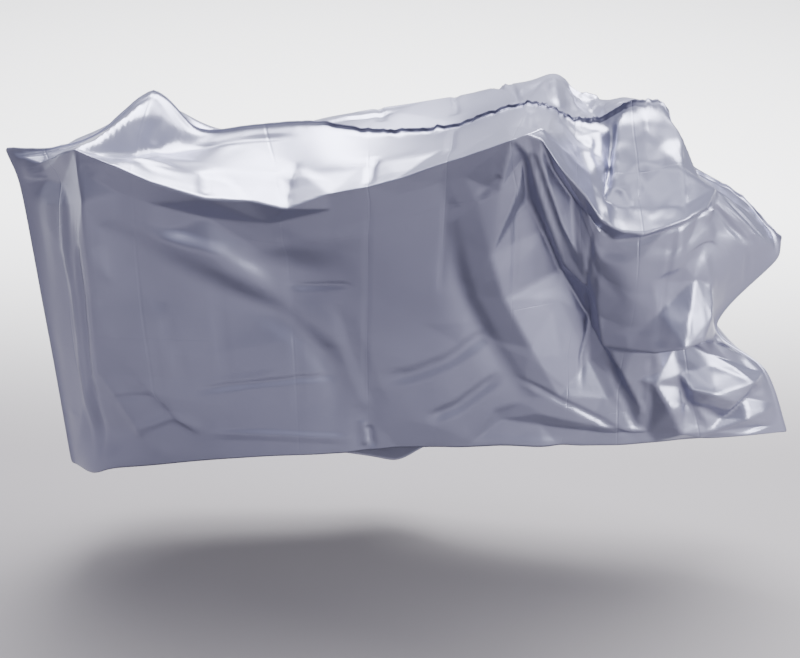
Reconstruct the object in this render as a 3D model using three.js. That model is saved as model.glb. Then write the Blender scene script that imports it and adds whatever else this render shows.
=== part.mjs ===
// A loose film cover draped over a bicycle: two side panels, joined by one seam that runs up the
// back, along the top and down the front. The cover is hollow and open below.
// Lengths are millimetres, +X towards the front wheel, -Y the near side, +Z up. The heights and
// places in the tables are those of a bicycle whose rear hub is at X 0 and whose wheels stand at Z 0.
import * as THREE from 'three';

const SHEET_THICKNESS = 2;
const SEAM_GAP = 0.3;
const SEAM_ALLOWANCE = 9;
// The underside of the top that the bicycle holds up: the part's origin.
const MOUNT = new THREE.Vector3(540, 0, 1098);

// How far down from shoulder to hem the chest and waist of each section lie.
const CHEST_DROP = 0.4;
const WAIST_DROP = 0.62;
// Rows of facets from seam to shoulder, to chest, to waist and to hem, and columns between sections.
const NEAR_ROWS = [6, 7, 4, 8];
const FAR_ROWS = [5, 6, 3, 6];
const COLUMNS_PER_SECTION = 3;
// Mean length of cloth from seam to hem, and the share of a panel over which folds fade at its seams.
const PANEL_DROP = 1050;
const FOLD_START = 0.07;
// Points along a fold's curve, and the share of its length over which each end fades.
const FOLD_STEPS = 12;
const FOLD_END = 0.3;

// One row for each section across the bicycle, from the back seam to the front seam.
const TOP_COLUMNS = ['x', 'y', 'z'];
const TOP_SEAM = [
  [-356, 0, 1062],
  [-280, 0, 1060],
  [-190, 30, 1080],
  [-55, 130, 1140],
  [55, 100, 1070],
  [195, 80, 1090],
  [315, 60, 1105],
  [425, 40, 1095],
  [520, 30, 1100],
  [610, 20, 1115],
  [690, 10, 1150],
  [770, 0, 1175],
  [820, 10, 1160],
  [870, 10, 1135],
  [920, 10, 1135],
  [985, 0, 1180],
  [1050, 0, 1180],
  [1110, 0, 1040],
  [1230, 0, 975],
  [1338, 0, 868],
];

const SIDE_COLUMNS = [
  'shoulderX', 'shoulderY', 'shoulderZ', 'chestX', 'chestY', 'waistX', 'waistY', 'hemX', 'hemY', 'hemZ',
];
const NEAR_SIDE = [
  [-338, 0, 980, -330, 0, -326, 0, -322, 0, 230],
  [-235, -75, 1035, -255, -70, -255, -75, -260, -70, 250],
  [-160, -180, 1125, -195, -125, -195, -115, -200, -105, 290],
  [-65, -175, 1085, -80, -130, -75, -135, -70, -135, 325],
  [90, -165, 1030, 90, -110, 95, -120, 110, -140, 350],
  [255, -150, 1005, 250, -85, 255, -105, 260, -140, 360],
  [350, -160, 1030, 350, -100, 350, -100, 345, -130, 360],
  [430, -170, 1055, 425, -120, 420, -110, 420, -125, 365],
  [520, -185, 1095, 505, -135, 500, -115, 495, -120, 370],
  [595, -205, 1135, 585, -140, 580, -115, 575, -115, 370],
  [665, -240, 1175, 665, -130, 655, -105, 650, -110, 365],
  [715, -285, 1215, 750, -140, 740, -95, 735, -100, 365],
  [770, -285, 1225, 835, -120, 835, -80, 835, -90, 355],
  [845, -220, 1095, 890, -105, 880, -75, 880, -80, 355],
  [915, -180, 990, 940, -120, 930, -85, 930, -75, 350],
  [1000, -175, 970, 1010, -125, 1000, -100, 1015, -70, 350],
  [1085, -165, 995, 1085, -125, 1080, -95, 1105, -65, 355],
  [1160, -95, 1020, 1145, -105, 1150, -85, 1210, -70, 370],
  [1255, -55, 950, 1190, -75, 1260, -65, 1320, -55, 370],
  [1340, 0, 825, 1218, 0, 1350, 0, 1430, 0, 345],
];
const FAR_SIDE = [
  [-338, 0, 980, -330, 0, -326, 0, -322, 0, 230],
  [-255, 70, 1040, -260, 65, -262, 70, -265, 70, 225],
  [-180, 120, 1065, -190, 105, -195, 105, -200, 110, 220],
  [-60, 170, 1100, -75, 130, -75, 130, -70, 140, 210],
  [90, 155, 1045, 90, 115, 95, 120, 105, 145, 195],
  [230, 150, 1045, 245, 95, 250, 105, 250, 145, 180],
  [345, 165, 1085, 350, 105, 345, 105, 340, 145, 165],
  [425, 175, 1100, 425, 120, 420, 115, 415, 150, 150],
  [515, 185, 1110, 505, 130, 495, 115, 480, 150, 140],
  [605, 205, 1120, 585, 140, 575, 115, 560, 140, 195],
  [690, 240, 1125, 665, 135, 655, 105, 650, 125, 235],
  [770, 285, 1120, 750, 140, 740, 95, 740, 115, 250],
  [845, 285, 1150, 830, 130, 825, 85, 825, 105, 255],
  [895, 230, 1130, 885, 120, 880, 80, 880, 95, 260],
  [940, 180, 1120, 940, 125, 930, 85, 935, 90, 265],
  [995, 130, 1135, 1010, 130, 1000, 95, 1015, 85, 275],
  [1060, 115, 1100, 1085, 130, 1080, 95, 1100, 80, 285],
  [1130, 80, 1015, 1145, 110, 1150, 80, 1210, 75, 305],
  [1240, 50, 950, 1190, 70, 1260, 65, 1320, 55, 330],
  [1340, 0, 825, 1218, 0, 1350, 0, 1430, 0, 345],
];

// A fold is a soft ridge (height above 0) or trough (below 0) along a curve through three points,
// each a place along the bicycle and a percentage of the way down from seam to hem.
const FOLD_COLUMNS = [
  'startX', 'startDrop', 'middleX', 'middleDrop', 'endX', 'endDrop', 'width', 'height',
];
const NEAR_FOLDS = [
  [-160, 20, -120, 8, -55, 1, 45, 12],
  [-130, 17, -75, 10, -35, 2, 45, -12],
  [-135, 14, -20, 12, 90, 6, 60, -18],
  [-145, 26, -180, 55, -210, 92, 55, 8],
  [-140, 30, -85, 43, 15, 58, 80, -14],
  [-115, 24, 120, 43, 385, 73, 60, 16],
  [-60, 27, 175, 39, 400, 49, 60, -16],
  [110, 46, 255, 57, 385, 83, 55, -14],
  [150, 25, 255, 24, 370, 26, 60, 10],
  [435, 82, 415, 92, 415, 105, 40, -8],
  [655, 35, 720, 56, 870, 85, 60, 12],
  [610, 40, 680, 62, 800, 88, 70, -12],
  [725, 26, 840, 53, 1065, 95, 70, -26],
  [755, 26, 830, 45, 935, 56, 45, 18],
  [790, 33, 860, 38, 925, 32, 40, -12],
  [775, 18, 815, 26, 905, 25, 35, 14],
  [910, 33, 925, 59, 1015, 90, 80, -16],
  [960, 8, 1015, 15, 1085, 22, 45, -14],
  [945, 30, 1015, 44, 1055, 60, 70, 10],
  [1050, 64, 1110, 52, 1195, 44, 65, 28],
  [1080, 73, 1180, 65, 1300, 60, 55, -24],
  [1150, 86, 1225, 79, 1300, 72, 55, 22],
  [1145, 94, 1235, 88, 1375, 82, 50, -16],
  [1090, 77, 1125, 88, 1190, 100, 50, 10],
];
const FAR_FOLDS = [
  [-130, 22, -60, 48, 30, 80, 70, -14],
  [-55, 20, 90, 50, 280, 84, 65, 15],
  [20, 26, 190, 44, 400, 60, 60, -14],
  [260, 40, 350, 62, 430, 96, 70, 12],
  [520, 42, 600, 66, 640, 94, 70, -12],
  [760, 30, 660, 56, 560, 88, 65, 14],
  [840, 26, 800, 54, 760, 88, 60, -20],
  [880, 28, 930, 58, 990, 90, 65, 14],
  [960, 26, 1040, 52, 1080, 84, 70, -16],
  [1090, 56, 1150, 50, 1200, 44, 55, 16],
  [1120, 78, 1200, 74, 1290, 68, 50, -12],
];

function readTable(columns, rows) {
  return rows.map((row) => Object.fromEntries(columns.map((name, index) => [name, row[index]])));
}

function smoothstep(low, high, value) {
  const t = Math.min(1, Math.max(0, (value - low) / (high - low)));
  return t * t * (3 - 2 * t);
}

// A cubic through every value, with no overshoot between two of them.
function interpolator(places, values) {
  const steps = places.slice(1).map((place, i) => (values[i + 1] - values[i]) / (place - places[i]));
  const slopes = values.map((_, i) => {
    if (i === 0) return steps[0];
    if (i === values.length - 1) return steps[i - 1];
    const product = steps[i - 1] * steps[i];
    return product <= 0 ? 0 : (2 * product) / (steps[i - 1] + steps[i]);
  });
  return (place) => {
    let i = 0;
    while (i < places.length - 2 && place > places[i + 1]) i += 1;
    const span = places[i + 1] - places[i];
    const t = (place - places[i]) / span;
    const a = values[i] * (1 + 2 * t) * (1 - t) ** 2 + values[i + 1] * t * t * (3 - 2 * t);
    const b = slopes[i] * t * (1 - t) ** 2 - slopes[i + 1] * t * t * (1 - t);
    return a + b * span;
  };
}

function vectorInterpolator(places, points) {
  const parts = ['x', 'y', 'z'].map((axis) => interpolator(places, points.map((point) => point[axis])));
  return (place) => new THREE.Vector3(...parts.map((part) => part(place)));
}

// The five points that a section's cloth passes from the seam to the hem.
function sectionPoints(top, side, outward) {
  const shoulder = new THREE.Vector3(side.shoulderX, side.shoulderY, side.shoulderZ);
  const hem = new THREE.Vector3(side.hemX, side.hemY, side.hemZ);
  const chestZ = THREE.MathUtils.lerp(shoulder.z, hem.z, CHEST_DROP);
  const waistZ = THREE.MathUtils.lerp(shoulder.z, hem.z, WAIST_DROP);
  const seam = new THREE.Vector3(top.x, top.y, top.z);
  const inset = SEAM_GAP / 2 + SHEET_THICKNESS;
  return [
    seam,
    shoulder,
    new THREE.Vector3(side.chestX, side.chestY, chestZ),
    new THREE.Vector3(side.waistX, side.waistY, waistZ),
    hem,
  ].map((point) => point.add(new THREE.Vector3(0, outward * inset, 0)));
}

// Points of the undisturbed panel, one array for each column from back to front.
function basePanel(sideRows, rowCounts, outward) {
  const tops = readTable(TOP_COLUMNS, TOP_SEAM);
  const sides = readTable(SIDE_COLUMNS, sideRows);
  const sections = tops.map((top, index) => sectionPoints(top, sides[index], outward));
  const sectionPlaces = sections.map((_, index) => index);
  const rowTotal = rowCounts.reduce((sum, count) => sum + count, 0);
  const nodeRows = rowCounts.reduce((list, count) => [...list, list[list.length - 1] + count], [0]);
  const along = nodeRows.map((_, node) => vectorInterpolator(
    sectionPlaces,
    sections.map((section) => section[node]),
  ));
  const columnTotal = (sections.length - 1) * COLUMNS_PER_SECTION;
  return Array.from({ length: columnTotal + 1 }, (_, column) => {
    const nodes = along.map((curve) => curve(column / COLUMNS_PER_SECTION));
    const down = vectorInterpolator(nodeRows, nodes);
    return Array.from({ length: rowTotal + 1 }, (__, row) => down(row));
  });
}

// Outward normals of a grid of points. Columns run from back to front and rows go down.
function gridNormals(grid, outward) {
  const columnTotal = grid.length - 1;
  const rowTotal = grid[0].length - 1;
  return grid.map((points, column) => points.map((_, row) => {
    const back = grid[Math.max(0, column - 1)][row];
    const front = grid[Math.min(columnTotal, column + 1)][row];
    const upper = grid[column][Math.max(0, row - 1)];
    const lower = grid[column][Math.min(rowTotal, row + 1)];
    const forward = front.clone().sub(back);
    const down = lower.clone().sub(upper);
    return down.cross(forward).multiplyScalar(-outward).normalize();
  }));
}

function curveThrough(fold) {
  const curve = new THREE.QuadraticBezierCurve(
    new THREE.Vector2(fold.startX, (fold.startDrop / 100) * PANEL_DROP),
    new THREE.Vector2(
      2 * fold.middleX - (fold.startX + fold.endX) / 2,
      ((2 * fold.middleDrop - (fold.startDrop + fold.endDrop) / 2) / 100) * PANEL_DROP,
    ),
    new THREE.Vector2(fold.endX, (fold.endDrop / 100) * PANEL_DROP),
  );
  return curve.getPoints(FOLD_STEPS);
}

// How far a fold lifts the cloth at a place: full at its middle, fading to its sides and its ends.
function foldHeight(fold, path, place) {
  let nearest = Infinity;
  let step = 0;
  path.forEach((point, index) => {
    const distance = point.distanceTo(place);
    if (distance < nearest) {
      nearest = distance;
      step = index;
    }
  });
  if (nearest >= fold.width) return 0;
  const before = path[Math.max(0, step - 1)];
  const after = path[Math.min(FOLD_STEPS, step + 1)];
  const direction = after.clone().sub(before).normalize();
  const offset = place.clone().sub(path[step]);
  const aside = Math.abs(direction.cross(offset));
  const beyond = Math.max(0, Math.sqrt(Math.max(0, nearest ** 2 - aside ** 2)) - fold.width / 3);
  const reach = Math.min(1, Math.hypot(aside, beyond) / fold.width);
  const along = step / FOLD_STEPS;
  const ends = smoothstep(0, FOLD_END, along) * smoothstep(1, 1 - FOLD_END, along);
  return fold.height * ends * (0.5 + 0.5 * Math.cos(Math.PI * reach));
}

// The panel with its folds, pushed out or in along its own normals, and still at its seams.
function foldedPanel(grid, foldRows, outward) {
  const folds = readTable(FOLD_COLUMNS, foldRows);
  const paths = folds.map(curveThrough);
  const normals = gridNormals(grid, outward);
  const lastColumn = grid.length - 1;
  const lastRow = grid[0].length - 1;
  return grid.map((points, column) => points.map((point, row) => {
    const down = row / lastRow;
    const inset = Math.min(column, lastColumn - column) / lastColumn;
    const place = new THREE.Vector2(point.x, down * PANEL_DROP);
    const free = smoothstep(0, FOLD_START, down) * smoothstep(0, FOLD_START, inset);
    const height = folds.reduce((sum, fold, index) => sum + foldHeight(fold, paths[index], place), 0);
    return point.clone().addScaledVector(normals[column][row], height * free);
  }));
}

// The outer and inner points of the sheet, with a ring of standing seam allowance at three edges.
function sheetSides(grid, outward) {
  const normals = gridNormals(grid, outward);
  const lastColumn = grid.length - 1;
  const lastRow = grid[0].length - 1;
  const outer = [];
  const inner = [];
  for (let c = -1; c <= lastColumn + 1; c += 1) {
    const column = THREE.MathUtils.clamp(c, 0, lastColumn);
    const outerColumn = [];
    const innerColumn = [];
    for (let r = -1; r <= lastRow; r += 1) {
      const row = Math.max(0, r);
      const point = grid[column][row].clone();
      const stand = new THREE.Vector3(c - column, 0, row - r).multiplyScalar(SEAM_ALLOWANCE);
      const isRing = c !== column || r !== row;
      const isSeam = column === 0 || column === lastColumn || row === 0;
      outerColumn.push(point.clone().add(stand));
      if (isSeam) {
        const inX = isRing || c !== column ? 0 : Number(column === 0) - Number(column === lastColumn);
        const inZ = isRing || row !== 0 ? 0 : -1;
        const across = new THREE.Vector3(inX, -outward, inZ).multiplyScalar(SHEET_THICKNESS);
        innerColumn.push(point.clone().add(stand).add(across));
      } else {
        innerColumn.push(point.clone().addScaledVector(normals[column][row], -SHEET_THICKNESS));
      }
    }
    outer.push(outerColumn);
    inner.push(innerColumn);
  }
  return { outer, inner };
}

// Closes the two sides of a sheet with a rim along all four edges.
function sheetGeometry({ outer, inner }, outward) {
  const columnCount = outer.length;
  const rowCount = outer[0].length;
  const positions = [...outer.flat(), ...inner.flat()].flatMap((point) => point.toArray());
  const outerAt = (column, row) => column * rowCount + row;
  const innerAt = (column, row) => columnCount * rowCount + outerAt(column, row);
  const indices = [];
  const addQuad = (a, b, c, d) => {
    if (outward < 0) indices.push(a, b, c, a, c, d);
    else indices.push(a, c, b, a, d, c);
  };
  for (let c = 0; c < columnCount - 1; c += 1) {
    for (let r = 0; r < rowCount - 1; r += 1) {
      addQuad(outerAt(c, r), outerAt(c, r + 1), outerAt(c + 1, r + 1), outerAt(c + 1, r));
      addQuad(innerAt(c, r), innerAt(c + 1, r), innerAt(c + 1, r + 1), innerAt(c, r + 1));
    }
    const hem = rowCount - 1;
    addQuad(outerAt(c, 0), outerAt(c + 1, 0), innerAt(c + 1, 0), innerAt(c, 0));
    addQuad(outerAt(c, hem), innerAt(c, hem), innerAt(c + 1, hem), outerAt(c + 1, hem));
  }
  for (let r = 0; r < rowCount - 1; r += 1) {
    const front = columnCount - 1;
    addQuad(outerAt(0, r), innerAt(0, r), innerAt(0, r + 1), outerAt(0, r + 1));
    addQuad(outerAt(front, r), outerAt(front, r + 1), innerAt(front, r + 1), innerAt(front, r));
  }
  const geometry = new THREE.BufferGeometry();
  geometry.setAttribute('position', new THREE.Float32BufferAttribute(positions, 3));
  geometry.setIndex(indices);
  geometry.computeVertexNormals();
  return geometry;
}

function makePanel(name, sideRows, foldRows, rowCounts, outward) {
  const grid = foldedPanel(basePanel(sideRows, rowCounts, outward), foldRows, outward);
  const film = new THREE.MeshStandardMaterial({ color: 0xa9abba, roughness: 0.42, metalness: 0.35 });
  const panel = new THREE.Mesh(sheetGeometry(sheetSides(grid, outward), outward), film);
  panel.name = name;
  panel.position.copy(MOUNT).negate();
  return panel;
}

const cover = new THREE.Group();
cover.add(makePanel('near_panel', NEAR_SIDE, NEAR_FOLDS, NEAR_ROWS, -1));
cover.add(makePanel('far_panel', FAR_SIDE, FAR_FOLDS, FAR_ROWS, 1));

export default cover;
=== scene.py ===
"""A silver film bicycle cover, draped in folds: two side panels that meet in a standing centre seam."""

import math
from typing import NamedTuple

import bmesh
import bpy
import numpy as np
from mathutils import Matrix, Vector, noise
from mathutils.bvhtree import BVHTree
from mathutils.geometry import delaunay_2d_cdt
from mathutils.interpolate import poly_3d_calc


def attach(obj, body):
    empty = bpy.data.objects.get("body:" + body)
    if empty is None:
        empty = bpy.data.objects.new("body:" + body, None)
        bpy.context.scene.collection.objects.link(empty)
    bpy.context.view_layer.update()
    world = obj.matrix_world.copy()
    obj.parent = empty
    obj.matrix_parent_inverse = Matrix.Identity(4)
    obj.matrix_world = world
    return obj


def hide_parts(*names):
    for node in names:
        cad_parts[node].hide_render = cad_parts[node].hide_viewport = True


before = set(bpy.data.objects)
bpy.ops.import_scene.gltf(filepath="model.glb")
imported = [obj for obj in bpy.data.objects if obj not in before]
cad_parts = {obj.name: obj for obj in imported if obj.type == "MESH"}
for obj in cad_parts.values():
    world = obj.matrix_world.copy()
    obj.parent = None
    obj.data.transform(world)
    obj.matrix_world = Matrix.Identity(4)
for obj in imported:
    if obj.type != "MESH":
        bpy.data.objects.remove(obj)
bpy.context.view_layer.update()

bl_info = {
    "name": "Draped bicycle cover",
    "version": (1, 0, 0),
    "blender": (4, 5, 0),
    "location": "View3D > Sidebar > Cover",
    "description": "Dresses the two panels of a film bicycle cover and sets its stage",
    "category": "Object",
}

MM = 0.001

# Places on the cloth are a number of packing creases from the back seam and a percentage of the way
# down from the top seam to the hem. The frame's sheets have three columns of facets for each crease
# number, one more column of seam allowance at each end, and one row of it along the top.
CREASE_COUNT = 19
COLUMNS_PER_CREASE = 3
COLUMNS = CREASE_COUNT * COLUMNS_PER_CREASE + 3
ALLOWANCE_CREASES = 0.1
ALLOWANCE_DROP = 0.9
CLOTH_MAP = "cloth"

# About as much cloth lies between two packing creases, in metres, as in this many percent of the way
# down.
CREASE_SPACING = 0.093
DROP_PER_CREASE = 9.0

# In the frame's mesh, edges shorter than this are those of the rims between the two faces of a sheet.
RIM_EDGE = 0.003
WELD = 0.00001
SUBDIVISIONS = 2

# Folds: the percentage of the way down over which they set in below a seam, the straight pieces
# between two of their points, the share of their length over which each end fades, how round a crest
# is, and how many vertices are averaged for a point over the sheet.
SEAM_HOLD = 4.0
FOLD_PIECES = 5
FOLD_FADE = 0.22
CREST_ROUNDING = 0.05
VERTICES_AVERAGED = 4

# How soon the net of sharp creases takes hold beside a corner that stays as it is.
NET_HOLD = 2.0
# The kind of triangulation that fills the outline round all the corners.
FILL_HULL = 0

# How far a crumple's corners stray from an even grid, and the share of its reach over which it fades.
SCATTER = 0.38
CRUMPLE_FADE = 0.6

# The top seam's ruffle: how far down it reaches in percent, its waves for each crease number, how much
# more often it rises than sways, the row of the noise that it rises by, and how far it sways and rises
# in metres.
RUFFLE_DROP = 2.5
RUFFLES_PER_CREASE = 4.0
RISES_PER_SWAY = 1.7
RISE_NOISE_ROW = 5
SEAM_SWAY = 0.009
SEAM_RISE = 0.006
# This share of the ruffle is there only in front of the starting crease number. Painted shade darkens
# the seam from there to the ending one. Both fade over a part of a crease.
RUFFLE_GAIN = 0.85
SEAM_START = 5.75
SEAM_END = 15.0
SEAM_FADE = 0.6

# Points of the top seam that the carrier under it lifts, and the slack beside them: the packing crease,
# the reach in creases and the lift in millimetres. They fade on the way down, over a percentage of it.
SEAM_PEAKS = ((3.0, 0.7, 14), (2.2, 0.8, -9), (3.8, 0.8, -9))
PEAK_DROP = 12.0

# Patterns on the film: how many features there are in a metre, how many finer layers are added to
# them, and their shares of the relief. Packing creases run down the cloth and, fainter, across it. The
# step between those across is in percent of the way down, and a width is a share of the way from one
# to the next.
CLOUD_SCALE = 3.0
DENT_SCALE = 11.0
CRINKLE_SCALE = 60.0
FACET_SCALE = 16.0
FINE_DETAIL = 4.0
COARSE_DETAIL = 2.0
DENT_SHARE = 0.5
FACET_SHARE = 0.25
CRINKLE_SHARE = 0.08
PACKING_SHARE = 0.6
PACKING_STEP = 25.0
DOWN_CREASE_WIDTH = 0.02
DOWN_CREASE_SHARE = 0.7
ACROSS_CREASE_WIDTH = 0.008
ACROSS_CREASE_SHARE = 0.3
# Between these values of the clouds the packing creases go from worn away to full.
WORN_CLOUDS = (0.42, 0.58)
RELIEF_STRENGTH = 0.5
ROUGHNESS_SPREAD = 0.12
# The painted shade on the seam's standing face fades out between these percentages of the way down.
SEAM_SHADE_LINE = (0.2, 0.5)
SEAM_SHADE_DARKNESS = 0.8

# Sockets of the node that mixes two colours.
MIX_SHARE, MIX_FIRST, MIX_SECOND = 0, 6, 7
MIX_COLOR = 2

SENSOR_WIDTH = 36
FLOOR_REACH = 16
FLOOR_ROUGHNESS = 0.8
# Between these distances behind the cover the floor's painted shade gives way to its pale colour.
FLOOR_SHADE_FADE = (0.3, 2.2)

# Folds and creases are laid out in the camera's view, which is 800 wide and 658 high: each point lies on
# the cloth where the camera sees it. Reaches and heights are in millimetres, and a height above zero
# stands out of the sheet.
VIEW_SIZE = (800, 658)


class Fold(NamedTuple):
    """A line of points in the view that lifts or sinks the sheet along it.

    It reaches so far to the left and to the right of the way that it runs, seen from outside.
    """

    profile: str
    left: float
    right: float
    height: float
    points: tuple


# Wide folds, which come before the sharp creases.
NEAR_FOLDS = {
    "slump_from_rear_corner": Fold(
        "soft", 60, 90, 4, ((95, 175), (130, 205), (170, 232), (205, 252), (245, 280), (290, 312))
    ),
    "slump_over_chain": Fold(
        "soft", 60, 50, 4, ((215, 258), (250, 280), (300, 310), (335, 345), (350, 380), (362, 415))
    ),
    "hollow_above_slump": Fold(
        "soft", 45, 45, -4, ((110, 178), (140, 193), (205, 228), (250, 258), (287, 283))
    ),
    "hollow_below_slump": Fold(
        "soft", 50, 50, -4, ((110, 205), (150, 250), (215, 285), (280, 318), (325, 352), (347, 415))
    ),
    "hollow_front_of_chain": Fold("crest", 34, 24, -4, ((335, 300), (350, 345), (365, 385), (378, 415))),
    "lower_frame_tube": Fold(
        "soft", 30, 30, -5, ((375, 382), (410, 375), (450, 360), (485, 335), (502, 305))
    ),
    "prop_stand": Fold("soft", 24, 28, -6, ((425, 420), (460, 405), (503, 372))),
}

# Sharp creases between flat facets: corners as x, y and height. Where the height is 0 the sheet stays
# as it is.
NEAR_NET = {
    # Rear corner and rear peak.
    "peak_rear_edge": ((78, 157, 18), (96, 147, 16), (122, 128, 18), (152, 103, 12)),
    "peak_foot": ((78, 157, 18), (104, 151, -12), (135, 143, -36), (165, 136, -48), (203, 132, -14)),
    "peak_front_edge": ((152, 103, 12), (170, 118, -8), (185, 128, -16), (203, 132, -14)),
    "shoulder": (
        (78, 157, 18), (110, 167, 14), (150, 182, 14), (205, 198, 14), (250, 202, 13), (286, 207, 15),
        (330, 194, 8), (370, 187, 6), (400, 179, 6), (450, 161, 6), (513, 139, 8),
    ),
    "shoulder_hollow": (
        (94, 182, -5), (118, 196, -12), (150, 207, -15), (205, 223, -15), (270, 228, -12), (330, 212, -5),
        (400, 195, -3), (440, 184, -3),
    ),
    "roof_calm": ((150, 160, 0), (210, 163, 0), (290, 162, 0), (377, 155, 0), (450, 143, 0), (505, 124, 0)),
    "side_calm": (
        (112, 240, 0), (150, 240, 0), (205, 256, 0), (270, 260, 0), (330, 245, 0), (400, 225, 0),
        (445, 210, 0),
    ),
    "rear_roof_edge": ((10, 153, 0), (25, 176, 12), (42, 164, 8), (60, 157, 6), (78, 157, 18)),
    "rear_roof_hollow": ((24, 184, -3), (44, 180, -6), (60, 184, -5)),
    "rear_corner_fall": ((78, 157, 18), (83, 200, 13), (88, 250, 8), (94, 310, 4), (99, 370, 2)),
    "rear_corner_hollow": ((66, 205, -5), (72, 260, -4), (80, 320, -3), (88, 380, -1)),
    "rear_side_calm": ((112, 240, 0), (118, 290, 0), (122, 350, 0)),
    # Folds that fall from the near grip.
    "grip_rear_fall": (
        (456, 160, 8), (466, 175, 10), (480, 197, 18), (492, 250, 16), (505, 295, 14), (530, 345, 12),
        (558, 395, 6),
    ),
    "grip_rear_calm": ((440, 230, 0), (455, 290, 0), (480, 340, 0), (520, 400, 0)),
    "grip_pinch": ((480, 197, 18), (500, 190, 8), (518, 189, 4)),
    "grip_deep_fold": (
        (513, 139, 8), (524, 160, -6), (530, 200, -16), (545, 236, -20), (562, 275, -20), (585, 320, -16),
        (603, 352, -12), (622, 390, -9), (640, 426, -6),
    ),
    "grip_ridge_rear": (
        (527, 135, 4), (529, 152, 8), (538, 185, 14), (552, 225, 16), (566, 260, 14), (578, 266, 6),
    ),
    "grip_groove": ((530, 150, 2), (546, 190, 2), (560, 228, 4), (572, 258, 2)),
    "grip_ridge_middle": ((540, 156, 5), (551, 190, 9), (563, 222, 11), (576, 250, 8)),
    "grip_front_fold": (
        (542, 142, -4), (556, 178, -16), (570, 205, -22), (584, 221, -22), (597, 228, -18), (613, 242, -8),
    ),
    "grip_front_ridge": ((541, 132, 8), (560, 163, 9), (580, 195, 12), (598, 219, 18)),
    "grip_top": ((545, 133, 4), (575, 138, 4), (602, 134, 8)),
    "basket_side": ((575, 150, 10), (585, 180, 12), (593, 208, 12)),
    "hood_rear_edge": ((602, 134, 8), (602, 165, 14), (600, 203, 14), (598, 219, 18)),
    "deep_fold_front": ((590, 290, 6), (599, 310, 9), (605, 342, 12), (624, 375, 6), (642, 410, 2)),
    "deep_fold_middle": ((560, 300, -2), (590, 360, -2), (610, 400, -2)),
    # Hood over the front basket.
    "hood_rear_hollow": ((611, 125, -16), (610, 160, -26), (605, 200, -12)),
    "hood_rear_ridge": ((620, 122, 12), (618, 150, 14), (612, 187, 6)),
    "hood_middle_ridge": ((643, 108, 14), (645, 135, 16), (648, 165, 15)),
    "hood_groove": ((656, 118, 4), (660, 145, 4), (664, 170, 4)),
    "hood_front_ridge": ((670, 118, 12), (676, 140, 14), (681, 172, 12), (684, 206, 6)),
    "hood_swirl": ((632, 168, 14), (645, 185, 4), (680, 206, 2)),
    "lip_inside": ((605, 200, -12), (614, 206, -6), (632, 208, -4), (655, 208, 0), (680, 206, 2)),
    "lip": (
        (598, 219, 18), (608, 223, 26), (622, 228, 30), (640, 230, 32), (662, 225, 28), (683, 217, 20),
        (690, 212, 16), (700, 206, 16), (712, 191, 10),
    ),
    "lip_hollow": (
        (600, 232, -8), (613, 242, -8), (640, 239, -8), (664, 234, -8), (683, 226, -8), (700, 218, -6),
        (716, 205, -2),
    ),
    "hood_front_tongue": ((684, 166, -6), (700, 178, -3), (712, 180, 0)),
    "dog_ear": ((714, 190, 4), (711, 208, 9), (706, 227, 2)),
    "nose_bit": ((757, 236, 3), (768, 221, 7), (775, 229, 2), (757, 236, 3)),
    "front_calm": ((600, 262, 0), (640, 262, 0), (680, 262, 0), (720, 250, 0), (745, 246, 0)),
    # Elbow over the neck, and the crumpled lower front.
    "elbow_edge": ((655, 343, 26), (673, 333, 48), (692, 326, 50), (704, 309, 28)),
    "elbow_back": ((655, 343, 26), (661, 312, -2), (680, 284, -10), (697, 280, -8), (704, 309, 28)),
    "face_edge": ((606, 343, 12), (630, 345, 14), (655, 343, 26)),
    "elbow_shadow": ((658, 354, -6), (676, 352, -14), (693, 347, -14), (704, 338, -10)),
    "face_shadow": ((606, 350, -2), (632, 353, -4), (658, 354, -6)),
    "face_plain": ((604, 318, 4), (625, 325, 0), (645, 322, 0)),
    "face_calm": ((630, 290, 0), (650, 278, 0), (684, 262, 0), (714, 284, 0)),
    "neck_fold": ((697, 345, -6), (712, 356, -14), (735, 362, -18), (756, 370, -6)),
    "neck_rim": ((712, 341, 2), (735, 348, 4), (752, 360, 2)),
    "front_top_edge": ((690, 371, -8), (712, 366, -8), (737, 368, -6), (757, 372, 0)),
    "front_middle_edge": (
        (682, 388, -10), (690, 386, 22), (712, 389, 26), (732, 394, 28), (750, 381, 14), (763, 371, 8),
    ),
    "front_lower_edge": ((697, 404, 4), (709, 431, 6), (722, 420, -10), (745, 398, -4), (760, 386, 2)),
    "front_left_fold": ((662, 372, -2), (680, 375, -6), (682, 388, -10), (687, 404, -12), (709, 431, 6)),
    "front_left_ridge": ((653, 382, 10), (668, 405, 20), (681, 430, 18), (700, 437, 8)),
    "front_left_groove": ((680, 404, 8), (681, 430, 18)),
    "hem_fold": ((709, 431, 6), (745, 417, 12), (778, 403, 8)),
    "hem_front_hollow": ((709, 431, 6), (745, 428, -4), (775, 425, 0)),
    "hub_edge": ((648, 434, -7), (655, 400, -4), (653, 382, 10)),
    "hub_fan_middle": ((648, 434, -7), (643, 410, -4), (640, 380, -2)),
    "hub_fan_upper": ((492, 407, 0), (503, 421, -8), (540, 427, -9), (600, 434, -8), (648, 434, -7)),
    "hub_fan_lower": ((540, 414, 4), (600, 426, 4), (638, 431, 0)),
}

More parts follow.
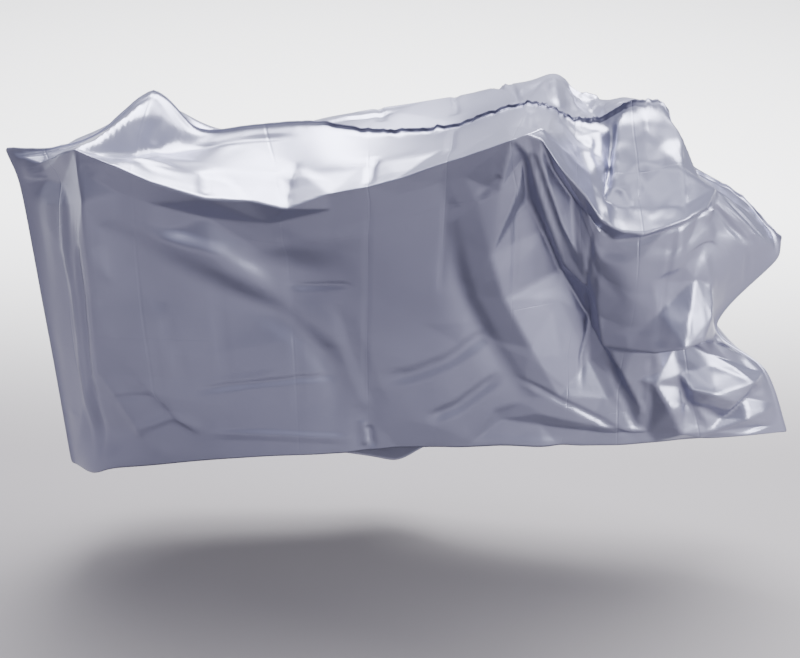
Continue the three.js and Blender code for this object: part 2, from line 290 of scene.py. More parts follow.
# Corners of the net that are given as places on the cloth itself, a packing crease and a percentage of
# the way down, and where the sheet stays as it is. The top seam's row leaves out crease 18, beside the
# nose, whose folds reach the seam.
NEAR_CALM = {
    "top_seam": tuple((crease, 0) for crease in range(CREASE_COUNT + 1) if crease != 18),
    "back_seam": ((0, 12), (0, 20), (0, 30), (0, 60), (0, 100)),
    "hem": tuple((crease, 100) for crease in range(3, CREASE_COUNT + 1)),
    "front_seam": ((19, 20), (19, 32), (19, 42), (19, 50), (19, 57), (19, 63)),
    "neck": ((18, 39), (18.5, 45), (18.5, 50), (18.5, 56), (18.5, 60)),
    "middle": ((2.5, 52), (5, 60), (7, 58), (8, 72), (9, 88)),
}

# Narrow creases, which come last.
NEAR_CREASES = {
    "rear_crease_light": Fold("crest", 14, 8, 5, ((60, 178), (66, 250), (76, 320), (84, 388), (93, 465))),
    "rear_crease_dark": Fold("crest", 12, 10, -6, ((68, 190), (75, 260), (84, 330), (91, 400), (98, 465))),
    "top_frame_tube": Fold("crest", 8, 14, -3, ((285, 284), (320, 285), (355, 284))),
    "hem_arc": Fold("crest", 20, 12, 3, ((125, 438), (150, 425), (163, 421), (185, 424), (205, 433))),
    "hem_wave": Fold("crest", 12, 18, 3, ((205, 433), (250, 434), (300, 436), (360, 438))),
    "hem_notch_edge": Fold("crest", 8, 18, 4, ((363, 418), (365, 432), (366, 447))),
    "hem_notch": Fold("crest", 12, 8, -4, ((368, 424), (371, 438), (374, 448))),
    "hem_fold_rear": Fold("crest", 12, 12, -2, ((157, 402), (160, 425), (166, 455))),
    "cross_crease_middle": Fold("crest", 10, 14, -3, ((188, 393), (225, 386), (300, 378), (345, 375))),
    "cross_crease_rear": Fold("crest", 10, 14, -2, ((104, 400), (130, 399), (156, 401))),
    "slump_edge": Fold("crest", 9, 9, -3, ((145, 285), (160, 305), (175, 350), (188, 393))),
    "peak_light_crease": Fold("crest", 12, 12, 5, ((160, 134), (168, 126), (174, 119))),
    "roof_hollow_rear": Fold("soft", 16, 18, -5, ((150, 143), (200, 140), (250, 138), (300, 136))),
    "roof_crease_1": Fold("crest", 12, 12, -5, ((205, 197), (206, 185), (208, 172))),
    "roof_crease_2": Fold("crest", 12, 12, -5, ((286, 205), (291, 182), (296, 160))),
    "roof_crease_3": Fold("crest", 12, 12, -5, ((368, 188), (372, 172), (377, 157))),
    "roof_crease_4": Fold("crest", 12, 12, -4, ((449, 158), (451, 142), (453, 126))),
    "roof_crease_5": Fold("crest", 12, 12, -5, ((531, 131), (531, 118), (531, 107))),
    "roof_corner_crease": Fold("crest", 14, 14, 4, ((128, 152), (132, 158), (150, 161), (180, 168))),
    "grip_pinch_crease": Fold("crest", 12, 12, -4, ((480, 195), (492, 179), (504, 165))),
    "hub_crease_long": Fold("crest", 10, 12, -4, ((506, 374), (560, 400), (600, 420), (641, 441))),
    "hub_crease_short": Fold("crest", 10, 10, -4, ((604, 362), (622, 400), (641, 436))),
    "side_crease_3": Fold("crest", 8, 8, -2.5, ((152, 330), (154, 365), (159, 420))),
    "side_crease_5": Fold("crest", 8, 8, -2.5, ((215, 250), (222, 340), (228, 420), (236, 450))),
    "side_crease_7": Fold("crest", 8, 8, -2.5, ((287, 208), (291, 270), (298, 380), (300, 450))),
    "side_crease_9": Fold("crest", 8, 8, -2.5, ((367, 190), (367, 290), (366, 400))),
    "side_crease_11": Fold("crest", 9, 9, -3, ((448, 165), (445, 230), (440, 300))),
    "side_crease_13": Fold("crest", 9, 9, -3, ((521, 200), (518, 250), (515, 300))),
    "side_crease_15": Fold("crest", 9, 9, -4, ((596, 218), (590, 255), (585, 290), (584, 345), (577, 400))),
    "side_crease_17": Fold("crest", 10, 10, -3, ((677, 225), (662, 310), (652, 400), (648, 438))),
    "side_crease_19": Fold("crest", 9, 9, -3, ((745, 246), (745, 268), (745, 290))),
    "basket_side_ridge": Fold("crest", 10, 10, 4, ((590, 138), (586, 160), (592, 185))),
    "hood_swirl_ridge": Fold("crest", 8, 8, 3, ((612, 187), (622, 192), (630, 203), (628, 218))),
    "front_cross_crease": Fold("crest", 10, 10, -3, ((602, 241), (665, 233), (745, 242), (772, 244))),
}
FAR_CREASES = {
    "grip_hollow": Fold("crest", 20, 30, -14, ((566, 76), (586, 98), (604, 116))),
    "grip_ridge": Fold("crest", 26, 16, 9, ((553, 76), (554, 92), (557, 108))),
    "grip_fan_lower": Fold("crest", 14, 20, -9, ((546, 77), (520, 99), (482, 118))),
    "grip_fan_ridge": Fold("crest", 12, 12, 5, ((540, 82), (516, 102), (498, 112))),
    "grip_fan_upper": Fold("crest", 12, 12, -5, ((533, 92), (520, 103), (505, 109))),
    "grip_front_ridge": Fold("crest", 10, 10, 6, ((582, 88), (592, 92), (600, 97))),
    "roof_crease_11": Fold("crest", 12, 12, -4, ((454, 127), (455, 113), (456, 99))),
    "roof_crease_9": Fold("crest", 12, 12, -4, ((377, 131), (382, 120), (386, 109))),
    "roof_cross_crease": Fold("crest", 12, 14, -5, ((306, 120), (350, 118), (398, 112))),
}

# Crumpled stretches: the middle place, the half width in packing creases and in percent of the way
# down, the size of the facets and how far their corners stand in or out, in millimetres.
CRUMPLES = (
    ((9.5, 50), (20, 90), 110, 3.0),
    ((14.0, 10), (3.4, 22), 26, 2.0),
    ((13.4, 12), (0.9, 14), 22, 2.0),
    ((17.5, 55), (2.2, 70), 34, 1.8),
    ((2.2, 12), (1.8, 16), 30, 2.0),
)


class Lamp(NamedTuple):
    """A rectangular light: its power in watts, where it stands, where it points and its two sides."""

    power: float
    place: tuple
    aim: tuple
    sides: tuple


LAMPS = {
    "overhead": Lamp(640, (0.5, 1.3, 2.8), (0, 0.1, -0.1), (4, 2.4)),
    "right_softbox": Lamp(130, (2.7, -1.7, 0.1), (0.5, 0, -0.5), (1.8, 1.3)),
    "front_panel": Lamp(75, (0.4, -3.6, 2.6), (0.2, 0, -0.4), (5, 2)),
    "floor_wash": Lamp(700, (0, 3.4, 3.2), (0, 4.6, -1.1), (8, 2)),
}


class Link:
    """A socket's value in a node tree, on which Python arithmetic adds Math nodes."""

    def __init__(self, nodes, socket):
        self.nodes = nodes
        self.socket = socket

    def math(self, operation, *others):
        inputs = dict(enumerate((self, *others)))
        return self.nodes.add("ShaderNodeMath", {"operation": operation}, inputs)

    def __add__(self, other):
        return self.math("ADD", other)

    __radd__ = __add__

    def __mul__(self, other):
        return self.math("MULTIPLY", other)

    __rmul__ = __mul__

    def __sub__(self, other):
        return self.math("SUBTRACT", other)

    def __rsub__(self, other):
        return self.nodes.add("ShaderNodeMath", {"operation": "SUBTRACT"}, {0: other, 1: self})

    def __truediv__(self, other):
        return self.math("DIVIDE", other)

    def __abs__(self):
        return self.math("ABSOLUTE")

    def step(self, low, high):
        """A smooth step from 0 where the value is low to 1 where it is high."""
        settings = {"interpolation_type": "SMOOTHSTEP"}
        values = {"Value": self, "From Min": low, "From Max": high}
        return self.nodes.add("ShaderNodeMapRange", settings, values)


class Nodes:
    """A new material and its node tree."""

    def __init__(self, name):
        self.material = bpy.data.materials.new(name)
        self.material.use_nodes = True
        self.tree = self.material.node_tree
        self.tree.nodes.clear()

    def add(self, kind, settings=None, values=None, output=0):
        """Adds a node, with its settings made first and then its sockets' values or links."""
        node = self.tree.nodes.new(kind)
        for name, value in (settings or {}).items():
            setattr(node, name, value)
        for name, value in (values or {}).items():
            socket = node.inputs[name]
            if isinstance(value, Link):
                self.tree.links.new(value.socket, socket)
            else:
                socket.default_value = value
        return Link(self, node.outputs[output]) if node.outputs else None

    def noise(self, place, scale, detail):
        return self.add("ShaderNodeTexNoise", {}, {"Vector": place, "Scale": scale, "Detail": detail})

    def mix(self, share, first, second):
        """The first colour where the share is 0, and the second where it is 1."""
        values = {MIX_SHARE: share, MIX_FIRST: first, MIX_SECOND: second}
        return self.add("ShaderNodeMix", {"data_type": "RGBA"}, values, MIX_COLOR)

    def finished(self, values):
        """The material, with its surface made from these values."""
        surface = self.add("ShaderNodeBsdfPrincipled", {}, values)
        self.add("ShaderNodeOutputMaterial", {}, {"Surface": surface})
        return self.material


def film_material(name, film):
    """Silver coated film: a satin metal sheen, faint clouding, packing creases and fine crinkles."""
    nodes = Nodes(name)
    place = nodes.add("ShaderNodeTexCoord", output="Object")
    cloth = nodes.add("ShaderNodeUVMap", {"uv_map": CLOTH_MAP})
    crease_number = nodes.add("ShaderNodeSeparateXYZ", {}, {"Vector": cloth}, "X")
    drop = nodes.add("ShaderNodeSeparateXYZ", {}, {"Vector": cloth}, "Y")
    clouds = nodes.noise(place, CLOUD_SCALE, FINE_DETAIL)
    dents = nodes.noise(place, DENT_SCALE, COARSE_DETAIL)
    crinkle = nodes.noise(place, CRINKLE_SCALE, FINE_DETAIL)
    facets = nodes.add("ShaderNodeTexVoronoi", {}, {"Vector": place, "Scale": FACET_SCALE})
    # Packing creases run down the cloth at every odd crease number, and across it in the middle of
    # every step.
    down = abs((crease_number * 0.5).math("FRACT") - 0.5)
    across = abs((drop / PACKING_STEP).math("FRACT") - 0.5)
    packed = (1 - down.step(0, DOWN_CREASE_WIDTH)) * DOWN_CREASE_SHARE
    packed = packed + (1 - across.step(0, ACROSS_CREASE_WIDTH)) * ACROSS_CREASE_SHARE
    shown = packed * clouds.step(*WORN_CLOUDS)
    relief = dents * DENT_SHARE + facets * FACET_SHARE + crinkle * CRINKLE_SHARE - shown * PACKING_SHARE
    bump = nodes.add(
        "ShaderNodeBump",
        {},
        {"Strength": RELIEF_STRENGTH, "Distance": film.crinkle_depth, "Height": relief},
    )
    color = nodes.mix(clouds, (*film.dull_color, 1), (*film.bright_color, 1))
    # Painted shade: the seam's standing face is coloured dark near the top, between two crease numbers.
    along = crease_number.step(SEAM_START, SEAM_START + SEAM_FADE)
    along = along * (1 - crease_number.step(SEAM_END, SEAM_END + SEAM_FADE))
    seam_shade = (1 - drop.step(*SEAM_SHADE_LINE)) * along
    return nodes.finished(
        {
            "Base Color": nodes.mix(seam_shade * SEAM_SHADE_DARKNESS, color, (*film.seam_shade_color, 1)),
            "Metallic": film.metallic,
            "Roughness": film.roughness + (clouds - 0.5) * ROUGHNESS_SPREAD,
            "Normal": bump,
        }
    )


def floor_material(name, stage):
    """A matt floor, darkened with painted shade under and in front of the cover and pale behind it."""
    nodes = Nodes(name)
    place = nodes.add("ShaderNodeTexCoord", output="Object")
    behind = nodes.add("ShaderNodeSeparateXYZ", {}, {"Vector": place}, "Y")
    # Painted shade: the floor is dark under and in front of the cover and pale behind it.
    color = nodes.mix(behind.step(*FLOOR_SHADE_FADE), (*stage.near_floor_shade_color, 1), (*stage.far_color, 1))
    return nodes.finished({"Base Color": color, "Roughness": FLOOR_ROUGHNESS})


def outer_sheet(node, outward):
    """The outer face of a frame node's sheet, with its loose triangles welded together."""
    sheet = bmesh.new()
    sheet.from_mesh(node.data)
    bmesh.ops.remove_doubles(sheet, verts=sheet.verts, dist=WELD)
    rim = {face for edge in sheet.edges if edge.calc_length() < RIM_EDGE for face in edge.link_faces}
    bmesh.ops.delete(sheet, geom=list(rim), context="FACES")
    for island in islands(sheet):
        facing = sum(face.normal.y * face.calc_area() for face in island)
        if facing * outward < 0:
            bmesh.ops.delete(sheet, geom=island, context="FACES")
    return sheet


def islands(sheet):
    """The sheet's faces, in a list for each stretch that hangs together."""
    left = set(sheet.faces)
    found = []
    while left:
        waiting = [left.pop()]
        island = []
        while waiting:
            face = waiting.pop()
            island.append(face)
            near = {other for edge in face.edges for other in edge.link_faces} & left
            left -= near
            waiting.extend(near)
        found.append(island)
    return found


def cloth_grid(sheet):
    """The sheet's vertices in columns from back to front, each from the top seam down to the hem."""
    rows = len(sheet.verts) // COLUMNS
    outline = {vert for edge in sheet.edges if edge.is_boundary for vert in edge.verts}
    column = [min(outline, key=lambda vert: vert.co.x - vert.co.z)]
    seen = set(column)
    while len(column) < rows:
        ways = [vert for vert in neighbours(column[-1]) if vert in outline and vert not in seen]
        column.append(min(ways, key=lambda vert: vert.co.z))
        seen.add(column[-1])
    columns = [column]
    while len(columns) < COLUMNS:
        columns.append(next_column(columns[-1], seen))
    return columns


def neighbours(vert):
    return [edge.other_vert(vert) for edge in vert.link_edges]


def next_column(column, seen):
    """The column in front of one, found from the hem up by the one neighbour that isn't known yet."""
    following = []
    for vert in reversed(column):
        ahead = [other for other in neighbours(vert) if other not in seen]
        following.append(ahead[0])
        seen.add(ahead[0])
    return following[::-1]


def keep_quads(sheet, columns):
    """Dissolves the diagonal of every pair of facets."""
    diagonals = [
        edge_between(columns[c][r], columns[c + 1][r + 1])
        for c in range(COLUMNS - 1)
        for r in range(len(columns[0]) - 1)
    ]
    bmesh.ops.dissolve_edges(sheet, edges=diagonals, use_verts=False, use_face_split=False)


def edge_between(first, second):
    return next(edge for edge in first.link_edges if edge.other_vert(first) is second)


def map_cloth(sheet, columns):
    """Writes each vertex's place on the cloth as a UV map."""
    last_row = len(columns[0]) - 2
    cloth = {}
    for c, column in enumerate(columns):
        crease = (c - 1) / COLUMNS_PER_CREASE
        crease = min(max(crease, -ALLOWANCE_CREASES), CREASE_COUNT + ALLOWANCE_CREASES)
        for r, vert in enumerate(column):
            drop = 100 * (r - 1) / last_row if r else -ALLOWANCE_DROP
            cloth[vert] = (crease, drop)
    uv_map = sheet.loops.layers.uv.new(CLOTH_MAP)
    for face in sheet.faces:
        for loop in face.loops:
            loop[uv_map].uv = cloth[loop.vert]


def as_object(name, sheet):
    mesh = bpy.data.meshes.new(name)
    sheet.to_mesh(mesh)
    sheet.free()
    piece = bpy.data.objects.new(name, mesh)
    bpy.context.scene.collection.objects.link(piece)
    return piece


def apply_modifier(piece, kind, **settings):
    """Gives a piece one modifier and makes its result the piece's own mesh."""
    modifier = piece.modifiers.new(kind.lower(), kind)
    for name, value in settings.items():
        setattr(modifier, name, value)
    bpy.context.view_layer.update()
    evaluated = piece.evaluated_get(bpy.context.evaluated_depsgraph_get())
    mesh = bpy.data.meshes.new_from_object(evaluated)
    piece.modifiers.clear()
    old = piece.data
    piece.data = mesh
    bpy.data.meshes.remove(old)
    mesh.name = piece.name


def split_rows(piece):
    """Cuts each facet in two across, because the frame's rows are further apart than its columns."""
    sheet = bmesh.new()
    sheet.from_mesh(piece.data)
    uv_map = sheet.loops.layers.uv[CLOTH_MAP]
    down = []
    for edge in sheet.edges:
        first = edge.link_loops[0]
        across, along = first.link_loop_next[uv_map].uv - first[uv_map].uv
        if abs(along) > abs(across) * DROP_PER_CREASE:
            down.append(edge)
    bmesh.ops.subdivide_edges(sheet, edges=down, cuts=1, use_grid_fill=True)
    sheet.to_mesh(piece.data)
    sheet.free()


class Cloth:
    """The vertices of a panel's fine sheet: where they are, which way they face, where on the cloth."""

    def __init__(self, piece):
        self.mesh = piece.data
        count = len(self.mesh.vertices)
        self.places = np.zeros((count, 2))
        loops = len(self.mesh.loops)
        uv = np.zeros(loops * 2)
        self.mesh.uv_layers[CLOTH_MAP].data.foreach_get("uv", uv)
        corner = np.zeros(loops, int)
        self.mesh.loops.foreach_get("vertex_index", corner)
        self.places[corner] = uv.reshape(-1, 2)
        self.read()
        self.facets = [tuple(polygon.vertices) for polygon in self.mesh.polygons]
        self.calm_points = self.points.copy()
        self.calm_sheet = BVHTree.FromPolygons(self.calm_points.tolist(), self.facets)

    def read(self):
        count = len(self.mesh.vertices)
        self.points = np.zeros(count * 3)
        self.mesh.vertices.foreach_get("co", self.points)
        self.points = self.points.reshape(-1, 3)
        self.normals = np.zeros(count * 3)
        self.mesh.vertices.foreach_get("normal", self.normals)
        self.normals = self.normals.reshape(-1, 3)

    def write(self):
        self.mesh.vertices.foreach_set("co", self.points.ravel())
        self.mesh.update()
        self.read()

    def flat(self, places):
        """Places as roughly even distances over the cloth laid flat."""
        return np.asarray(places) * (1, 1 / DROP_PER_CREASE) * CREASE_SPACING

    def seen_at(self, x, y):
        """The place on the cloth, before it is folded, that the camera sees at a point of its view."""
        eye, way = sight_line(x, y)
        hit, _, facet, _ = self.calm_sheet.ray_cast(eye, way)
        if hit is None:
            offset = self.calm_points - np.array(eye)
            beside = np.linalg.norm(np.cross(offset, way), axis=1)
            return self.places[np.argmin(beside)]
        corners = list(self.facets[facet])
        weights = poly_3d_calc([Vector(self.calm_points[corner]) for corner in corners], hit)
        return np.array(weights) @ self.places[corners]

    def point_at(self, place, height=0.0):
        """A point over the sheet at a place, between the vertices nearest to it."""
        away = ((self.flat(self.places) - self.flat(place)) ** 2).sum(axis=1)
        near = np.argpartition(away, VERTICES_AVERAGED)[:VERTICES_AVERAGED]
        weight = 1 / (away[near] + WELD**2)
        return weight @ (self.points[near] + self.normals[near] * height) / weight.sum()

    def fold(self, profile, left, right, height, points):
        """Lifts or sinks the sheet along a line of points in the view."""
        places = [self.seen_at(x, y) for x, y in points]
        line = [self.point_at(place) for place in between(places)]
        away, along, side = self.distance_to(line)
        reach = np.where(side > 0, left, right) * MM
        share = PROFILES[profile](away / reach) * smooth(np.minimum(along, 1 - along) / FOLD_FADE)
        self.points += self.normals * (share * self.free_share() * height * MM)[:, None]

    def distance_to(self, line):
        """How far each point is from a line, how far along it from 0 to 1, and on which side of it."""
        best = np.full(len(self.points), np.inf)
        along = np.zeros(len(self.points))
        side = np.zeros(len(self.points))
        travelled = 0.0
        for start, end in zip(line, line[1:]):
            way = end - start
            length = np.linalg.norm(way)
            offset = self.points - start
            share = np.clip(offset @ way / length**2, 0, 1)
            away = np.linalg.norm(offset - share[:, None] * way, axis=1)
            turn = (np.cross(way, offset) * self.normals).sum(axis=1)
            closer = away < best
            best = np.where(closer, away, best)
            along = np.where(closer, travelled + share * length, along)
            side = np.where(closer, turn, side)
            travelled += length
        return best, along / travelled, side

    def free_share(self):
        """How free each point is to move: nothing at the seams, all a little way inside them."""
        creases, drop = self.places.T
        inset = np.minimum(creases, CREASE_COUNT - creases) * DROP_PER_CREASE
        return smooth(np.minimum(inset, drop) / SEAM_HOLD)


def ruffle_seam(cloth):
    """Makes the standing top seam wavy, and both panels alike, so that they stay together."""
    creases, drop = cloth.places.T
    share = np.clip(1 - drop / RUFFLE_DROP, 0, 1)
    crimped = smooth((creases - SEAM_START) / SEAM_FADE) * RUFFLE_GAIN + (1 - RUFFLE_GAIN)
    for index in np.flatnonzero(share):
        along = creases[index] * RUFFLES_PER_CREASE
        sway = noise.noise(Vector((along, 0, 0)))
        rise = noise.noise(Vector((along * RISES_PER_SWAY, RISE_NOISE_ROW, 0)))
        move = np.array([0, sway * SEAM_SWAY, rise * SEAM_RISE])
        cloth.points[index] += share[index] * crimped[index] * move
    for middle, reach, lift in SEAM_PEAKS:
        peak = np.clip(1 - abs(creases - middle) / reach, 0, 1)
        below = smooth(1 - drop / PEAK_DROP)
        cloth.points[:, 2] += peak * below * lift * MM


def sight_line(x, y):
    """From where and which way the camera sees a point of its view."""
    view = bpy.context.scene.cover_view
    eye, turn = camera_pose(view)
    width, height = VIEW_SIZE
    across = x / width - 0.5 + view.shift[0]
    up = (height / 2 - y) / width + view.shift[1]
    return eye, (turn @ Vector((across, up, -view.lens / SENSOR_WIDTH))).normalized()


def camera_pose(view):
    """Where the camera stands and how it is turned."""
    level = math.cos(view.elevation)
    back = Vector(
        (math.sin(view.azimuth) * level, -math.cos(view.azimuth) * level, math.sin(view.elevation))
    )
    return Vector(view.target) + back * view.distance, (-back).to_track_quat("-Z", "Y")


def smooth(share):
    share = np.clip(share, 0, 1)
    return share * share * (3 - 2 * share)


def soft_profile(away):
    return (1 + np.cos(np.pi * np.clip(away, 0, 1))) / 2


def crest_profile(away):
    """Flat flanks up to a crest that is only a little rounded."""
    rounded = np.sqrt(away**2 + CREST_ROUNDING**2) - CREST_ROUNDING
    return np.clip(1 - rounded, 0, 1)


PROFILES = {"soft": soft_profile, "crest": crest_profile}


def between(places):
    """The places with more set evenly between each two."""
    places = np.asarray(places, float)
    knots = np.arange(len(places))
    steps = np.linspace(0, len(places) - 1, (len(places) - 1) * FOLD_PIECES + 1)
    return np.stack([np.interp(steps, knots, places[:, axis]) for axis in (0, 1)], axis=1)


def triangulate(spots, edges=()):
    """The triangles between some spots on the flat cloth, and the spot that each corner comes from."""
    result = delaunay_2d_cdt([Vector(spot) for spot in spots], list(edges), [], FILL_HULL, WELD)
    corners, _, triangles, origins, _, _ = result
    return np.array(corners), np.array(triangles), [origin[0] if origin else None for origin in origins]


def spread(values, corners, triangles, flat):
    """Values at the corners of a flat net, read off at other flat points, as not a number outside."""
    read = np.full((len(flat), values.shape[1]), np.nan)
    for triangle in triangles:
        first, second, third = corners[triangle]
        sides = np.array([second - first, third - first])
        turn = np.linalg.det(sides)
        if abs(turn) < WELD**2:
            continue
        close = np.flatnonzero(
            (flat >= corners[triangle].min(axis=0)).all(axis=1)
            & (flat <= corners[triangle].max(axis=0)).all(axis=1)
        )
        shares = (flat[close] - first) @ np.linalg.inv(sides)
        shares = np.column_stack([1 - shares.sum(axis=1), shares])
        inside = (shares >= -WELD).all(axis=1)
        read[close[inside]] = shares[inside] @ values[triangle]
    return read


def crease_net(cloth, seen, calm):
    """Makes the film flat between sharp creases, which run through corners seen in the view."""
    creases = [
        [(*cloth.seen_at(x, y), height) for x, y, height in crease] for crease in seen.values()
    ]
    creases += [[(*place, 0) for place in row] for row in calm.values()]
    corners = sorted({corner for crease in creases for corner in crease})
    edges = [
        (corners.index(start), corners.index(end))
        for crease in creases
        for start, end in zip(crease, crease[1:])
    ]
    spots, triangles, origins = triangulate(cloth.flat([corner[:2] for corner in corners]), edges)
    places = spots / cloth.flat([1, 1])
    heights = np.array([0 if origin is None else corners[origin][2] * MM for origin in origins])
    stands = [cloth.point_at(place, height) for place, height in zip(places, heights)]
    values = np.column_stack([stands, heights != 0])
    read = spread(values, spots, triangles, cloth.flat(cloth.places))
    share = smooth(np.nan_to_num(read[:, 3]) * NET_HOLD) * cloth.free_share()
    cloth.points += (np.nan_to_num(read[:, :3]) - cloth.points) * share[:, None]


def crumple(cloth, seed, middle, reach, size, height):
    """Makes a stretch of the sheet faceted, from scattered spots with flat triangles between them."""
    draw = np.random.default_rng(seed)
    flat = cloth.flat(cloth.places)
    step = size * MM
    low, high = flat.min(axis=0) - step, flat.max(axis=0) + step
    spots = np.stack(np.meshgrid(*(np.arange(*ends, step) for ends in zip(low, high))), axis=-1)
    spots = spots.reshape(-1, 2)
    spots += draw.uniform(-SCATTER, SCATTER, spots.shape) * step
    lifts = draw.uniform(-height, height, len(spots)) * MM
    corners, triangles, origins = triangulate(spots)
    away = np.linalg.norm((cloth.places - middle) / reach, axis=1)
    share = smooth((1 - away) / CRUMPLE_FADE) * cloth.free_share()
    near = np.flatnonzero(share)
    lift = spread(lifts[origins][:, None], corners, triangles, flat[near])
    cloth.points[near] += cloth.normals[near] * lift * share[near, None]


class CoverView(bpy.types.PropertyGroup):
    """Where the camera stands, from the point that it looks at."""

    target: bpy.props.FloatVectorProperty(
        name="Target", description="Point looked at", default=(-0.04, 0.0, -0.598), subtype="TRANSLATION"
    )
    distance: bpy.props.FloatProperty(
        name="Distance", description="From the target to the camera", default=3.208, unit="LENGTH"
    )
    azimuth: bpy.props.FloatProperty(
        name="Azimuth", description="Turn round the cover", default=math.radians(1.0), subtype="ANGLE"
    )
    elevation: bpy.props.FloatProperty(
        name="Elevation", description="Above the horizon", default=math.radians(31.8), subtype="ANGLE"
    )
    lens: bpy.props.FloatProperty(
        name="Lens", description="Focal length", default=60.35, subtype="DISTANCE_CAMERA"
    )
    shift: bpy.props.FloatVectorProperty(
        name="Shift", description="Lens shift", size=2, default=(-0.00375, 0.05625)
    )


class CoverFilm(bpy.types.PropertyGroup):
    """The finish of the film."""

    dull_color: bpy.props.FloatVectorProperty(
        name="Dull", description="Film where it is dull", default=(0.25, 0.255, 0.36), subtype="COLOR"
    )
    bright_color: bpy.props.FloatVectorProperty(
        name="Bright", description="Film where it is bright", default=(0.32, 0.325, 0.43), subtype="COLOR"
    )
    # Painted shade on the standing top seam's face.
    seam_shade_color: bpy.props.FloatVectorProperty(
        name="Seam", description="Painted shade on the top seam", default=(0.05, 0.05, 0.09), subtype="COLOR"
    )
    metallic: bpy.props.FloatProperty(
        name="Metallic", description="Share of metal sheen", default=0.85, subtype="FACTOR"
    )
    roughness: bpy.props.FloatProperty(
        name="Roughness", description="Softness of the sheen", default=0.33, subtype="FACTOR"
    )
    crinkle_depth: bpy.props.FloatProperty(
        name="Crinkle", description="Depth of fine crinkles", default=0.002, unit="LENGTH"
    )
    thickness: bpy.props.FloatProperty(
        name="Thickness", description="Of the dressed sheet", default=0.0008, unit="LENGTH"
    )


class CoverStage(bpy.types.PropertyGroup):
    """The floor that the bicycle would stand on, and the light from all round."""

    floor_height: bpy.props.FloatProperty(
        name="Floor", description="Height of the floor", default=-1.098, unit="LENGTH"
    )
    # Painted shade: the floor under and in front of the cover is dark.
    near_floor_shade_color: bpy.props.FloatVectorProperty(
        name="Floor color", description="Floor darkened with painted shade", default=(0.2, 0.19, 0.2), subtype="COLOR"
    )
    far_color: bpy.props.FloatVectorProperty(
        name="Far color", description="Floor behind the cover", default=(0.9, 0.9, 0.9), subtype="COLOR"
    )
    sky_color: bpy.props.FloatVectorProperty(
        name="Sky color", description="Light from all round", default=(0.84, 0.84, 1.0), subtype="COLOR"
    )
    sky_strength: bpy.props.FloatProperty(
        name="Sky strength", description="Strength of the light from all round", default=0.65
    )


class COVER_OT_camera(bpy.types.Operator):
    """Sets up the camera"""

    bl_idname = "cover.camera"
    bl_label = "Set up camera"

    def execute(self, context):
        view = context.scene.cover_view
        lens = bpy.data.cameras.new("camera")
        lens.lens = view.lens
        lens.sensor_width = SENSOR_WIDTH
        lens.sensor_fit = "HORIZONTAL"
        lens.shift_x, lens.shift_y = view.shift
        camera = bpy.data.objects.new("camera", lens)
        eye, turn = camera_pose(view)
        camera.location = eye
        camera.rotation_euler = turn.to_euler()
        context.scene.collection.objects.link(camera)
        context.scene.camera = camera
        return {"FINISHED"}


def make_panel(name, outward, folds, net, calm, creases):
    """Dresses one panel: wide folds, sharp facets, crumples and narrow creases, then its thickness.

    Outward is the side that it faces, -1 for the near side and 1 for the far side.
    """
    film = bpy.context.scene.cover_film
    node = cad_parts[name]
    sheet = outer_sheet(node, outward)
    columns = cloth_grid(sheet)
    keep_quads(sheet, columns)
    map_cloth(sheet, columns)
    piece = as_object(name.replace("panel", "film"), sheet)
    apply_modifier(piece, "SUBSURF", levels=SUBDIVISIONS, render_levels=SUBDIVISIONS)
    split_rows(piece)
    cloth = Cloth(piece)
    cloth.write()
    for fold in folds.values():
        cloth.fold(*fold)
        cloth.write()
    if net:
        crease_net(cloth, net, calm)
        cloth.write()
    for seed, row in enumerate(CRUMPLES):
        crumple(cloth, seed, *row)
    cloth.write()
    for crease in creases.values():
        cloth.fold(*crease)
    ruffle_seam(cloth)
    cloth.write()
    apply_modifier(piece, "SOLIDIFY", thickness=film.thickness, offset=-1, use_even_offset=False)
    piece.data.shade_smooth()
    material = bpy.data.materials.get("silver_film") or film_material("silver_film", film)
    piece.data.materials.append(material)
    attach(piece, "root")
    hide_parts(name)
    return piece


class COVER_OT_near_panel(bpy.types.Operator):
    """Makes the near panel's film"""

    bl_idname = "cover.near_panel"
    bl_label = "Make near panel"

    def execute(self, context):
        make_panel("near_panel", -1, NEAR_FOLDS, NEAR_NET, NEAR_CALM, NEAR_CREASES)
        return {"FINISHED"}


class COVER_OT_far_panel(bpy.types.Operator):
    """Makes the far panel's film"""

    bl_idname = "cover.far_panel"
    bl_label = "Make far panel"

    def execute(self, context):
        make_panel("far_panel", 1, folds={}, net={}, calm={}, creases=FAR_CREASES)
        return {"FINISHED"}


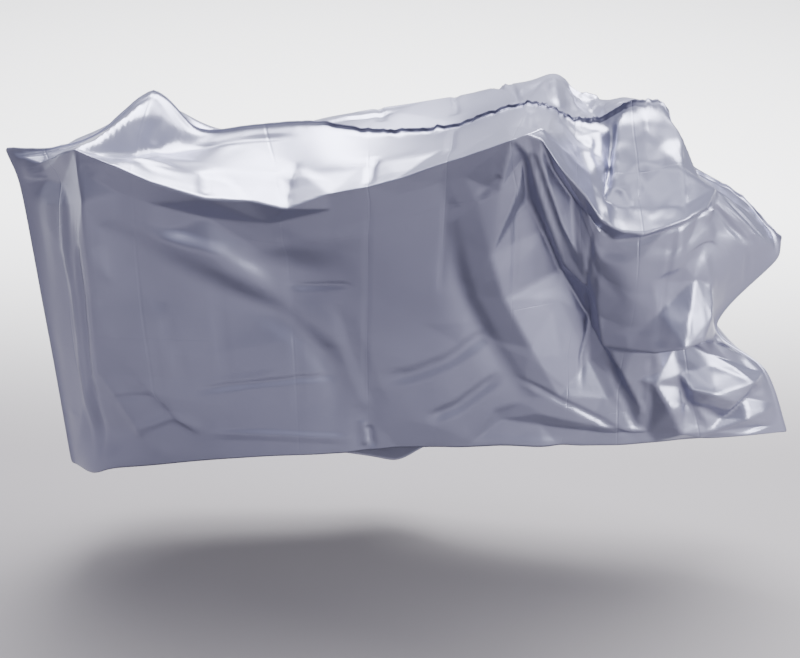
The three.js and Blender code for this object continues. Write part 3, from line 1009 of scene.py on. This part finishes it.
def add_light(name, lamp):
    light = bpy.data.lights.new(name, "AREA")
    light.energy = lamp.power
    light.shape = "RECTANGLE"
    light.size, light.size_y = lamp.sides
    stand = bpy.data.objects.new(name, light)
    stand.location = lamp.place
    stand.rotation_euler = (Vector(lamp.aim) - Vector(lamp.place)).to_track_quat("-Z", "Y").to_euler()
    bpy.context.scene.collection.objects.link(stand)


class COVER_OT_stage(bpy.types.Operator):
    """Makes the floor and the lights"""

    bl_idname = "cover.stage"
    bl_label = "Make stage"

    def execute(self, context):
        stage = context.scene.cover_stage
        plane = bmesh.new()
        bmesh.ops.create_grid(plane, x_segments=1, y_segments=1, size=FLOOR_REACH)
        bmesh.ops.translate(plane, verts=plane.verts, vec=(0, 0, stage.floor_height))
        floor = as_object("studio_floor", plane)
        floor.data.materials.append(floor_material("floor_with_painted_shade", stage))
        for name, lamp in LAMPS.items():
            add_light(name, lamp)
        world = bpy.data.worlds.new("studio")
        world.use_nodes = True
        sky = world.node_tree.nodes["Background"].inputs
        sky["Color"].default_value = (*stage.sky_color, 1)
        sky["Strength"].default_value = stage.sky_strength
        context.scene.world = world
        return {"FINISHED"}


class COVER_PT_panel(bpy.types.Panel):
    """Lists the cover's operators and settings"""

    bl_label = "Bicycle cover"
    bl_space_type = "VIEW_3D"
    bl_region_type = "UI"
    bl_category = "Cover"

    def draw(self, context):
        for operator in OPERATORS:
            self.layout.operator(operator.bl_idname)
        for group_name in GROUPS:
            group = getattr(context.scene, group_name)
            for name in group.bl_rna.properties.keys():
                if name not in {"rna_type", "name"}:
                    self.layout.prop(group, name)


GROUPS = {"cover_view": CoverView, "cover_film": CoverFilm, "cover_stage": CoverStage}
OPERATORS = (COVER_OT_camera, COVER_OT_near_panel, COVER_OT_far_panel, COVER_OT_stage)


def register():
    for kind in (*GROUPS.values(), *OPERATORS, COVER_PT_panel):
        bpy.utils.register_class(kind)
    for name, group in GROUPS.items():
        setattr(bpy.types.Scene, name, bpy.props.PointerProperty(type=group))


def unregister():
    for name in GROUPS:
        delattr(bpy.types.Scene, name)
    for kind in (COVER_PT_panel, *OPERATORS, *GROUPS.values()):
        bpy.utils.unregister_class(kind)


def main():
    register()
    bpy.ops.cover.camera()
    bpy.ops.cover.near_panel()
    bpy.ops.cover.far_panel()
    bpy.ops.cover.stage()


if __name__ == "__main__":
    main()
